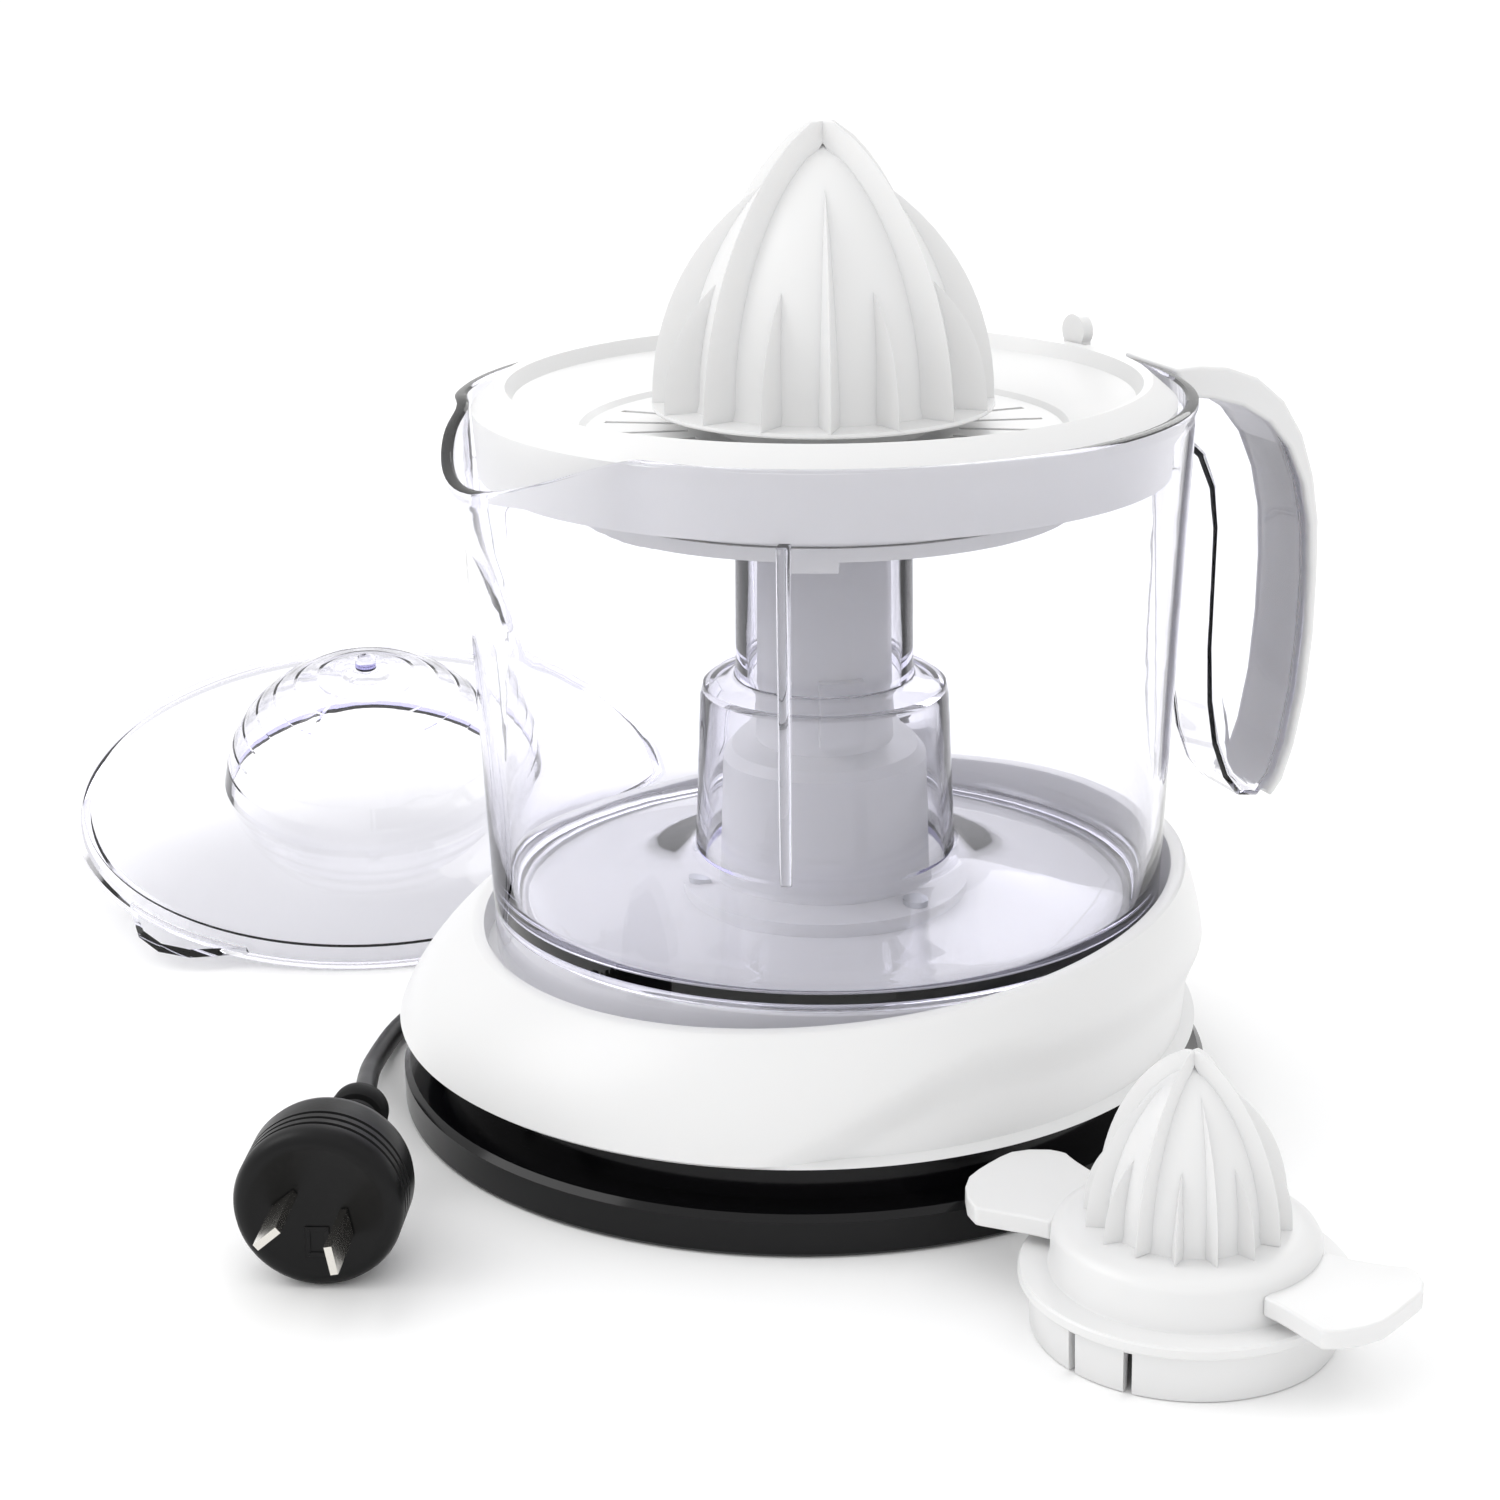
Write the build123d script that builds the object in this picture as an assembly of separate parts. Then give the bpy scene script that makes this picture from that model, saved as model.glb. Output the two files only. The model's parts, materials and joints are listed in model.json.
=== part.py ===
from build123d import *
import math
import os

# Citrus press juicer: base with motor and tower, jug, strainer, two cones, dust cover and mains lead.
# Frame: origin on the drive axis at the floor, spout towards -Y, handle towards +Y, +Z up, millimetres.

# ---- driving dimensions ------------------------------------------------------------------------
RUN_GAP = 0.05          # radial clearance of a shaft in its bush
FIT_GAP = 0.35          # clearance between curved faces of pieces that come apart
WALL = 2.4              # moulded wall thickness

# base
BASE_Y = -6.0           # the base plan sits this far towards the spout
FLANGE_R = 96.8         # black foot flange
FLANGE_H = 9.6
NECK_R = 88.0           # recessed neck above the flange, where the lead can be wound
NECK_TOP = 21.0
TRAY_FLOOR = 3.0
SHELL_R = 96.3          # lower edge of the white shell
SHELL_MID_R = 92.6
SHELL_TOP_R = 85.6
SHELL_MID_Z = 37.0
RIM_Z0 = 49.5           # height of the shell's rim on the drive axis
RIM_SLOPE = 0.10        # the rim climbs towards the handle
PLATEAU_R = 73.5        # raised deck under the jug floor
PLATEAU_Z = 46.5
GROOVE_Z = 36.0         # floor of the ring groove that takes the jug's skirt

# jug
JUG_FOOT_R = 79.0
JUG_RIM_R = 84.6
JUG_RIM_Z = 168.0
JUG_FLOOR_Z = 51.0      # inner floor at the wall
JUG_DOME = 7.0          # rise of the floor towards the column
COL_LOW_R = 29.3        # clear column round the drive tower
COL_UP_R = 20.9
COL_STEP_Z = 101.0
COL_TOP_Z = 152.0
COL_BORE_R = 8.6        # hole for the spindle in the column's top
COL_CUT_R = 31.5        # where the column node meets the floor
RIB_TOP_Z = 151.6       # ribs inside the jug carry the strainer
RIB_FOOT_Z = 77.0
RIB_START = 61.0        # degrees from the spout to the first rib
RIB_COUNT = 4
SPOUT_REACH = 8.0
SPOUT_TURN = 10.0       # the spout's direction, degrees from -Y towards +X
HANDLE_HALF = 11.0

# drive tower and spindle
TOWER_LOW_R = 24.4
TOWER_UP_R = 16.5
TOWER_STEP_Z = 84.0
TOWER_TOP_Z = 146.0
SPINDLE_R = 5.0
SPINDLE_LOW_Z = 21.2
SPINDLE_TOP_Z = 199.0
HEX_FLATS = 8.6         # across the flats of the drive hexagon

# strainer and pulp selector
BOWL_R = 72.5
BOWL_TOP_Z = 171.5
BOWL_SHELF_R = 56.0
BOWL_FLOOR_Z = 160.0
SKIRT_R = 79.3
DRUM_R = 57.5
DRUM_FOOT_Z = 146.0
HUB_R = 25.0
SELECTOR_T = 3.0
SELECTOR_SWING = 20.0
LEVER_ANGLE = 103.0     # direction of the lever at rest, degrees from +X
LEVER_TOP_Z = 178.0

# large cone
CONE_R = 39.2
CONE_BASE_Z = 165.0
CONE_FIRST_RIB = -20.7
CONE_APEX_Z = 229.6

# gear train
MODULE = 1.5
PINION_TEETH = 12
WHEEL_TEETH = 40
GEAR_T = 6.0
BACKLASH = 0.45
MESH_GAP = 0.15

# pieces that stand beside the base
SMALL_CONE = (145.2, 17.2)
SMALL_CONE_TURN = 28.0
SMALL_CONE_FIRST_RIB = -41.7
SMALL_SKIRT_R = 31.2
COVER_AT = (-186.5, -64.8, 19.8)
COVER_TILT = (0.225, -0.05)
COVER_R = 85.0

# mains lead
CORD_D = 5.0
COIL_AT = (-150.0, 78.0)
COIL_MID_R = 28.0
COIL_LIFT = 0.9
PLUG_FACE = (62.5, -141.9)
PLUG_DIR = (-0.906, 0.423)
PLUG_R = 18.0
GLAND_ANGLE = 135.0


# ---- helpers -------------------------------------------------------------------------------------
def lathe(points):
    """Turn a closed outline of (radius, height) points round the drive axis."""
    outline = Polyline(*[(r, 0, z) for r, z in points], close=True)
    return revolve(make_face(outline), Axis.Z)


def disc(radius, low, high, at=(0, 0)):
    return Pos(at[0], at[1], low) * Cylinder(radius, high - low, align=(Align.CENTER, Align.CENTER, Align.MIN))


def tube(outer, inner, low, high, at=(0, 0)):
    return disc(outer, low, high, at) - disc(inner, low - 1, high + 1, at)


def block(low, high):
    size = [b - a for a, b in zip(low, high)]
    return Pos(*low) * Box(*size, align=(Align.MIN, Align.MIN, Align.MIN))


def polar(radius, degrees, centre=(0, 0)):
    turn = math.radians(degrees)
    return (centre[0] + radius * math.cos(turn), centre[1] + radius * math.sin(turn))


def hexagon(across_flats, low, high):
    return Pos(0, 0, low) * extrude(RegularPolygon(across_flats / math.sqrt(3), 6), high - low)


def gear(teeth, low, high, bore, phase=0.0):
    """Involute spur gear; teeth are thinned by the backlash."""
    pitch_r = MODULE * teeth / 2
    base_r = pitch_r * math.cos(math.radians(20))
    tip_r, root_r = pitch_r + 0.9 * MODULE, pitch_r - 1.25 * MODULE
    inv_pitch = math.tan(math.radians(20)) - math.radians(20)
    half_pitch = (math.pi * MODULE / 2 - BACKLASH) / 2 / pitch_r
    flank = []
    start = max(base_r, root_r)
    for step in range(4):
        radius = start + (tip_r - start) * step / 3
        angle = math.acos(min(1.0, base_r / radius))
        flank.append((radius, half_pitch + inv_pitch - (math.tan(angle) - angle)))
    if root_r < base_r:
        flank.insert(0, (root_r, flank[0][1]))
    points = []
    for tooth in range(teeth):
        middle = math.radians(phase) + 2 * math.pi * tooth / teeth
        for radius, half in flank:
            points.append((radius * math.cos(middle - half), radius * math.sin(middle - half)))
        for radius, half in reversed(flank):
            points.append((radius * math.cos(middle + half), radius * math.sin(middle + half)))
    wheel = extrude(make_face(Polyline(*points, close=True)), high - low)
    return Pos(0, 0, low) * wheel - disc(bore, low - 1, high + 1)


def ogive(radius, height, share):
    """Radius of a tangent ogive at a share of its height."""
    curve = (height ** 2 + radius ** 2) / (2 * radius)
    return math.sqrt(max(curve ** 2 - (share * height) ** 2, 0)) - (curve - radius)


def ogive_solid(radius, height, low, steps=14):
    points = [(0, low)]
    for step in range(steps):
        share = step / steps
        points.append((ogive(radius, height, share), low + share * height))
    points.append((0, low + height))
    return lathe(points)


def rib(radius, height, low, top_share, depth, width, angle):
    """A sharp-crested rib that follows the ogive and fades into the body at its top."""
    sections = []
    steps = 6
    for step in range(steps + 1):
        share = top_share * step / steps
        crest = ogive(radius, height, share)
        fade = 1 - 0.93 * (step / steps) ** 3
        half = width / 2 * (0.35 + 0.65 * fade)
        deep = depth * (0.4 + 0.6 * fade) + 1.2
        crest_x = crest - depth * (1 - fade) * 0.8
        inner = max(crest_x - deep, 0.2)
        crest_x = max(crest_x, inner + 0.6)
        triangle = Polyline((inner, -half, 0), (crest_x, 0, 0), (inner, half, 0), close=True)
        sections.append(Pos(0, 0, low + share * height) * make_face(triangle))
    return Rot(0, 0, angle) * loft(sections, ruled=True)


def ribbed_cone(radius, height, low, body_share, depth, width, first_angle):
    """Cone body with four long, four middle and eight short ribs."""
    cone = ogive_solid(radius * body_share, height * 0.955, low)
    families = ((4, 45.0, 0.93), (4, 0.0, 0.80), (8, 22.5, 0.52))
    for count, start, top_share in families:
        for index in range(count):
            turn = first_angle + start + index * 360 / count
            cone += rib(radius, height, low, top_share, depth, width, turn)
    return cone


def route_tube(points, label):
    """Round tube along straight runs joined by tangent arcs; each arc is as large as its runs allow."""
    spots = [Vector(*p) for p in points]
    radii = []
    for before, here, after in zip(spots, spots[1:], spots[2:]):
        turn = math.radians((here - before).get_angle(after - here))
        shorter = min((here - before).length, (after - here).length)
        radii.append(0.45 * shorter / math.tan(turn / 2))
    path = FilletPolyline(*spots, radius=radii)
    start = Plane(origin=path @ 0, z_dir=path % 0)
    solid = sweep(start * Circle(CORD_D / 2), path=path)
    section = math.pi * (CORD_D / 2) ** 2
    print(label, "length", round(path.length, 1), "radii", [round(r, 1) for r in radii],
          "volume ratio", round(solid.volume / (section * path.length), 4))
    return solid


# ---- base ----------------------------------------------------------------------------------------
SCREW_SPOTS = [polar(70, a, (0, BASE_Y)) for a in (35, 145, 215, 325)]
FOOT_SPOTS = [polar(86, a, (0, BASE_Y)) for a in (45, 135, 225, 315)]
PLATE_POSTS = [(32, 34), (34, -46), (-52, 42), (-58, -34)]
CENTRE_STEP = MODULE * (PINION_TEETH + WHEEL_TEETH) / 2 + MESH_GAP
IDLER_AT = (-CENTRE_STEP, 0.0)
MOTOR_AT = polar(CENTRE_STEP, -60, IDLER_AT)
PLATE_Z = 22.4
PLATE_T = 2.2
LOW_MESH_Z = 26.6
HIGH_MESH_Z = 34.6


def gland_place():
    turn = math.radians(GLAND_ANGLE)
    direction = (math.cos(turn), math.sin(turn), 0)
    mouth = (direction[0] * NECK_R, BASE_Y + direction[1] * NECK_R, (FLANGE_H + NECK_TOP) / 2)
    return Plane(origin=mouth, z_dir=direction)


def shell_solid(inset, top_drop=0.0):
    """Body that flares from the sloping rim round the jug down to the lower edge."""
    tilt = math.degrees(math.atan(RIM_SLOPE))
    low = Pos(0, BASE_Y - 1, NECK_TOP) * Circle(SHELL_R - inset)
    middle = Pos(0, BASE_Y / 2, SHELL_MID_Z) * Rot(tilt / 2, 0, 0) * Circle(SHELL_MID_R - inset)
    top = Pos(0, 0, RIM_Z0 - top_drop) * Rot(tilt, 0, 0) * Circle(SHELL_TOP_R - inset)
    return loft([low, middle, top])


def base_tray():
    tray = Pos(0, BASE_Y, 0) * lathe([
        (0, 0), (FLANGE_R - 0.8, 0), (FLANGE_R, 0.8), (FLANGE_R, FLANGE_H - 1.4), (FLANGE_R - 1.4, FLANGE_H),
        (NECK_R, FLANGE_H), (NECK_R, NECK_TOP), (NECK_R - 2.8, NECK_TOP), (NECK_R - 2.8, TRAY_FLOOR),
        (0, TRAY_FLOOR)])
    for spot in FOOT_SPOTS:
        tray -= disc(7.05, -1, 2.0, spot)
    for spot in SCREW_SPOTS:
        tray += disc(5.5, TRAY_FLOOR, 9.0, spot)
        tray -= disc(3.4, -1, 6.0, spot)
        tray -= disc(1.7, 5, 10, spot)
    for row in range(-3, 4):
        tray -= block((row * 9 - 1.5, BASE_Y + 38, -1), (row * 9 + 1.5, BASE_Y + 58, 4))
    gland_hole = gland_place() * Cylinder(4.6, 16)
    return tray - gland_hole


def base_housing():
    housing = shell_solid(0)
    cavity = shell_solid(2.6, 4.0) & block((-120, -120, NECK_TOP + 1.8), (120, 120, GROOVE_Z - 2.6))
    housing -= cavity
    housing -= disc(NECK_R - 4.0, NECK_TOP - 1, NECK_TOP + 2, (0, BASE_Y))
    housing -= disc(PLATEAU_R - 2.4, NECK_TOP - 1, PLATEAU_Z - 2.5)
    housing -= disc(SHELL_TOP_R - 3.0, PLATEAU_Z, 80)
    housing -= tube(SHELL_TOP_R - 3.0, PLATEAU_R, GROOVE_Z, PLATEAU_Z + 1)
    housing -= disc(10.0, PLATEAU_Z - 5, PLATEAU_Z + 1)
    for spot in SCREW_SPOTS:
        post = disc(4.5, 9.3, GROOVE_Z - 1.6, spot) - disc(1.25, 8, 30, spot)
        housing += post
    for spot in PLATE_POSTS:
        housing += disc(4.0, PLATE_Z + PLATE_T, PLATEAU_Z - 1.5, spot) - disc(1.2, PLATE_Z, 38, spot)
    for angle in (20, 140, 260):
        housing -= disc(1.2, PLATEAU_Z - 5, PLATEAU_Z + 1, polar(31, angle))
    return housing


def drive_tower():
    tower = lathe([(TOWER_LOW_R - WALL, PLATEAU_Z), (35, PLATEAU_Z), (35, PLATEAU_Z + 2.6),
                   (TOWER_LOW_R + 0.8, PLATEAU_Z + 2.6), (TOWER_LOW_R, TOWER_STEP_Z - 2),
                   (TOWER_LOW_R - 2, TOWER_STEP_Z), (TOWER_UP_R, TOWER_STEP_Z + 1.5),
                   (TOWER_UP_R - 0.5, TOWER_TOP_Z - 2), (TOWER_UP_R - 2.5, TOWER_TOP_Z), (8.0, TOWER_TOP_Z),
                   (8.0, TOWER_TOP_Z - 12), (TOWER_UP_R - WALL - 0.6, TOWER_TOP_Z - 12),
                   (TOWER_UP_R - WALL, TOWER_STEP_Z - 1), (TOWER_LOW_R - WALL - 1, TOWER_STEP_Z - 2.5)])
    for angle in (20, 140, 260):
        tower -= disc(1.7, PLATEAU_Z - 1, PLATEAU_Z + 4, polar(31, angle))
    lug = block((13.2, -5, 88), (18.4, 5, 104)) & disc(18.4, 80, 110)
    return tower + Rot(0, 0, -10) * lug


def tower_screws():
    parts = []
    for angle in (20, 140, 260):
        spot = polar(31, angle)
        head = disc(2.9, PLATEAU_Z + 2.6, PLATEAU_Z + 4.2, spot)
        parts.append(head + disc(1.15, PLATEAU_Z - 2.4, PLATEAU_Z + 3, spot))
    return Compound(children=parts)


def rubber_feet():
    return Compound(children=[disc(7.0, 0, 2.0, spot) for spot in FOOT_SPOTS])


def tray_screws():
    return Compound(children=[disc(3.0, 4.4, 6.0, spot) + disc(1.2, 5.9, 22, spot) for spot in SCREW_SPOTS])


def gearbox_plate():
    plate = disc(78, PLATE_Z, PLATE_Z + PLATE_T, (0, BASE_Y))
    plate &= block((-71, -54, PLATE_Z - 1), (40, 50, PLATE_Z + PLATE_T + 1))
    for spot in SCREW_SPOTS:
        plate -= disc(6.0, PLATE_Z - 1, PLATE_Z + PLATE_T + 1, spot)
    plate -= disc(5.5, PLATE_Z - 1, PLATE_Z + PLATE_T + 1)
    plate -= disc(2.0 + RUN_GAP, PLATE_Z - 1, PLATE_Z + PLATE_T + 1, MOTOR_AT)
    plate -= disc(2.0, PLATE_Z - 1, PLATE_Z + PLATE_T + 1, IDLER_AT)
    for spot in PLATE_POSTS:
        plate -= disc(1.7, PLATE_Z - 1, PLATE_Z + PLATE_T + 1, spot)
    for side in (-1, 1):
        plate -= disc(1.6, PLATE_Z - 1, PLATE_Z + PLATE_T + 1, (MOTOR_AT[0] + side * 20, MOTOR_AT[1]))
    return plate


def plate_screws():
    parts = [disc(3.2, PLATE_Z - 1.6, PLATE_Z, s) + disc(1.15, PLATE_Z - 1, PLATE_Z + 10, s) for s in PLATE_POSTS]
    return Compound(children=parts)


def idler_pin():
    return disc(2.0, PLATE_Z, PLATEAU_Z - 2.7, IDLER_AT)


# ---- motor and gear train ------------------------------------------------------------------------
ROTOR_R = 10.0
STACK_LOW = 7.0
STACK_HIGH = 19.0


def stator_core():
    x, y = MOTOR_AT
    core = block((x - 27, y - 18, STACK_LOW), (x + 27, y + 16, STACK_HIGH))
    core -= disc(ROTOR_R + 0.6, STACK_LOW - 1, STACK_HIGH + 1, MOTOR_AT)
    core -= block((x - 17, y - 13, STACK_LOW - 1), (x + 17, y - 12.2, STACK_HIGH + 1))
    for side in (-1, 1):
        core -= disc(1.6, STACK_LOW - 1, STACK_HIGH + 1, (x + side * 20, y))
    return core


def motor_coil():
    x, y = MOTOR_AT
    winding = block((x - 13, y - 26, 5.4), (x + 13, y - 18, 20.6))
    return fillet(winding.edges().filter_by(Axis.X), 3.0)


def motor_bracket():
    x, y = MOTOR_AT
    strap = block((x - 25, y - 6, STACK_LOW - 2.0), (x + 25, y + 6, STACK_LOW))
    strap += disc(5.0, STACK_LOW - 3.6, STACK_LOW - 1, MOTOR_AT)
    strap -= disc(2.0 + RUN_GAP, 0, STACK_LOW + 1, MOTOR_AT)
    for side in (-1, 1):
        strap -= disc(1.6, 0, STACK_LOW + 1, (x + side * 20, y))
    return strap


def motor_screws():
    x, y = MOTOR_AT
    parts = []
    for side in (-1, 1):
        spot = (x + side * 20, y)
        parts.append(disc(2.9, 3.4, 5.0, spot) + disc(1.4, 4.5, PLATE_Z + PLATE_T + 1.5, spot))
        parts.append(tube(3.0, 1.4, STACK_HIGH, PLATE_Z, spot))
    return Compound(children=parts)


def rotor():
    body = disc(ROTOR_R, STACK_LOW + 0.5, STACK_HIGH - 0.5, MOTOR_AT)
    body += disc(2.0, 4.0, LOW_MESH_Z + GEAR_T + 1.0, MOTOR_AT)
    return body


def motor_pinion():
    direction = math.degrees(math.atan2(MOTOR_AT[1] - IDLER_AT[1], MOTOR_AT[0] - IDLER_AT[0]))
    mesh_phase = direction + 180 + 180 / PINION_TEETH
    return Pos(*MOTOR_AT) * gear(PINION_TEETH, LOW_MESH_Z - 0.5, LOW_MESH_Z + GEAR_T + 0.4, 2.0, mesh_phase)


def idler_gear():
    direction = math.degrees(math.atan2(MOTOR_AT[1] - IDLER_AT[1], MOTOR_AT[0] - IDLER_AT[0]))
    bore = 2.0 + RUN_GAP
    wheel = gear(WHEEL_TEETH, LOW_MESH_Z, LOW_MESH_Z + GEAR_T, bore, direction)
    pinion = gear(PINION_TEETH, LOW_MESH_Z + GEAR_T, HIGH_MESH_Z + GEAR_T + 0.4, bore, 0.0)
    return Pos(*IDLER_AT) * (wheel + pinion)


def output_gear():
    wheel = gear(WHEEL_TEETH, HIGH_MESH_Z, HIGH_MESH_Z + GEAR_T, 6.0, 180 + 180 / WHEEL_TEETH)
    hub = disc(7.0, PLATE_Z + PLATE_T + 0.3, PLATEAU_Z - 2.9) + disc(5.45, PLATE_Z + 0.2, PLATE_Z + PLATE_T + 0.5)
    bore = hexagon(HEX_FLATS + 2 * RUN_GAP, PLATE_Z - 2, PLATEAU_Z)
    return wheel + hub - bore


def drive_spindle():
    upper = disc(SPINDLE_R, 52, 158)
    lower = hexagon(HEX_FLATS, SPINDLE_LOW_Z, 53)
    head = hexagon(HEX_FLATS, 157, SPINDLE_TOP_Z)
    collar = disc(7.0, 58, 60.5)
    return upper + lower + head + collar


def spindle_bush():
    sleeve = tube(8.0, SPINDLE_R + RUN_GAP, TOWER_TOP_Z - 12, TOWER_TOP_Z)
    return sleeve + tube(9.6, SPINDLE_R + RUN_GAP, TOWER_TOP_Z, TOWER_TOP_Z + 1.4)


def return_spring():
    """Coil spring between the output gear and the spindle's collar, drawn as its envelope sleeve."""
    low, high = PLATEAU_Z - 2.6, 57.7
    coils = 5
    path = Helix(pitch=(high - low - 1.2) / coils, height=high - low - 1.2, radius=6.6)
    wire = sweep(Plane(origin=path @ 0, z_dir=path % 0) * Circle(0.5), path=path, is_frenet=True)
    return Pos(0, 0, low + 0.6) * wire


def micro_switch():
    body = block((-10, -4, TRAY_FLOOR + 1.4), (10, 4, 15))
    return body - block((-1.6, -1.6, 9), (1.6, 1.6, 16))


def switch_mount():
    ledge = block((-12, -6, TRAY_FLOOR), (12, 6, TRAY_FLOOR + 1.4))
    return ledge


def switch_plunger():
    return block((-1.4, -1.4, 13.0 - 0.8), (1.4, 1.4, SPINDLE_LOW_Z - 0.2))


# ---- jug -----------------------------------------------------------------------------------------
def jug_outer_r(z):
    return JUG_FOOT_R + (JUG_RIM_R - JUG_FOOT_R) * (z - GROOVE_Z) / (JUG_RIM_Z - GROOVE_Z)


def floor_z(radius):
    share = (jug_outer_r(JUG_FLOOR_Z) - radius) / (jug_outer_r(JUG_FLOOR_Z) - COL_LOW_R)
    return JUG_FLOOR_Z + JUG_DOME * share


def jug_wall_profile():
    z0 = GROOVE_Z + FIT_GAP
    low = COL_LOW_R + 1.6
    return [
        (jug_outer_r(z0), z0), (jug_outer_r(JUG_RIM_Z), JUG_RIM_Z), (JUG_RIM_R - WALL, JUG_RIM_Z),
        (jug_outer_r(JUG_FLOOR_Z) - WALL, JUG_FLOOR_Z + 1.5), (jug_outer_r(JUG_FLOOR_Z) - WALL - 2, JUG_FLOOR_Z),
        (low, floor_z(low)), (COL_LOW_R, COL_STEP_Z - 3), (COL_LOW_R - 3, COL_STEP_Z), (COL_UP_R + 1, COL_STEP_Z),
        (COL_UP_R, COL_STEP_Z + 1), (COL_UP_R - 0.4, COL_TOP_Z - 1.5), (COL_UP_R - 2, COL_TOP_Z), (COL_BORE_R, COL_TOP_Z),
        (COL_BORE_R, COL_TOP_Z - 2), (COL_UP_R - 2.4, COL_TOP_Z - 2), (COL_UP_R - 2.1, COL_STEP_Z - 1.6),
        (COL_LOW_R - 3.2, COL_STEP_Z - 2), (COL_LOW_R - 2.2, COL_STEP_Z - 4), (low - 2.2, floor_z(low) - 2.4),
        (JUG_FOOT_R - WALL - 1.2, JUG_FLOOR_Z - 2.4), (jug_outer_r(z0) - WALL, z0)]


def spout(outset):
    """Pouring lip: a V channel that leans out from the wall towards -Y."""
    top = Pos(0, 0, JUG_RIM_Z - 7) * make_face(Polyline(
        (-30 + outset, -72, 0), (-15, -84.0, 0), (0, -JUG_RIM_R - SPOUT_REACH + outset, 0), (15, -84.0, 0),
        (30 - outset, -72, 0), close=True))
    foot = Pos(0, 0, 126 + outset) * make_face(Polyline(
        (-3, -76, 0), (-1.2, -80, 0), (0, -81.5 + outset, 0), (1.2, -80, 0), (3, -76, 0), close=True))
    return loft([foot, top], ruled=True)


def handle_outline():
    return Polyline((80, 160), (80, 166.5), (97, 166.5), (111, 160), (120, 146), (125.4, 128), (126, 100), (122, 71),
                    (114, 58), (106, 60), (100, 76), (98.5, 104), (99, 134), (93, 148), (82, 152), close=True)


def jug_turned():
    return lathe(jug_wall_profile())


def jug():
    """Wall with its spout, floor and strainer ribs; the column and the handle are nodes of their own."""
    outside = lathe([(0, 120), (jug_outer_r(120) - 0.4, 120), (JUG_RIM_R - 0.4, 172), (0, 172)])
    channel = spout(1.8) & block((-40, -100, 131), (40, -60, 172))
    dip = Pos(0, -JUG_RIM_R, JUG_RIM_Z + 1) * Rot(-11, 0, 0) * Box(34, 34, 14)
    body = jug_turned() - disc(COL_CUT_R, 0, 200)
    body += Rot(0, 0, SPOUT_TURN) * (spout(0) - outside)
    body -= Rot(0, 0, SPOUT_TURN) * channel
    body -= Rot(0, 0, SPOUT_TURN) * dip
    for index in range(RIB_COUNT):
        turn = RIB_START - 90 + index * 360 / RIB_COUNT
        outline = Polyline((jug_outer_r(RIB_FOOT_Z) - 1.2, 0, RIB_FOOT_Z), (jug_outer_r(RIB_TOP_Z) - 1.2, 0, RIB_TOP_Z),
                           (SKIRT_R - 4.0, 0, RIB_TOP_Z), close=True)
        fin = extrude(make_face(outline), 1.3, both=True)
        body += Rot(0, 0, turn) * fin
    return body


def jug_column():
    """Hollow column of the same moulding, round the drive tower."""
    return jug_turned() & disc(COL_CUT_R, 0, 200)


def jug_handle():
    """Hollow ear of the same moulding, open towards the fingers."""
    ear = extrude(Plane.YZ * make_face(handle_outline()), HANDLE_HALF - 1, both=True)
    ear_hollow = extrude(Plane.YZ * offset(make_face(handle_outline()), -2.6), HANDLE_HALF - 3.2, both=True)
    open_side = block((-HANDLE_HALF + 3.2, 84, 66), (HANDLE_HALF - 3.2, 112, 140))
    open_side &= extrude(Plane.YZ * make_face(handle_outline()), HANDLE_HALF, both=True)
    ear -= ear_hollow + open_side
    ear -= handle_cover_solid(FIT_GAP)
    return ear - lathe([(0, 120), (jug_outer_r(120), 120), (jug_outer_r(180), 180), (0, 180)])


def handle_cover_solid(grow):
    """White strip that clips over the top and back of the handle."""
    face = make_face(handle_outline())
    band = extrude(Plane.YZ * face, HANDLE_HALF - 3.6 + grow, both=True)
    band -= extrude(Plane.YZ * offset(face, -2.3 - grow), HANDLE_HALF, both=True)
    return band & block((-30, 97 - grow, 70 - grow), (30, 140, 175)) & extrude(
        Plane.YZ * make_face(Polyline((90, 175), (150, 175), (150, 60), (112, 60), (112, 120), (100, 152), close=True)),
        30, both=True)


def handle_cover():
    return handle_cover_solid(0)


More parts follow.
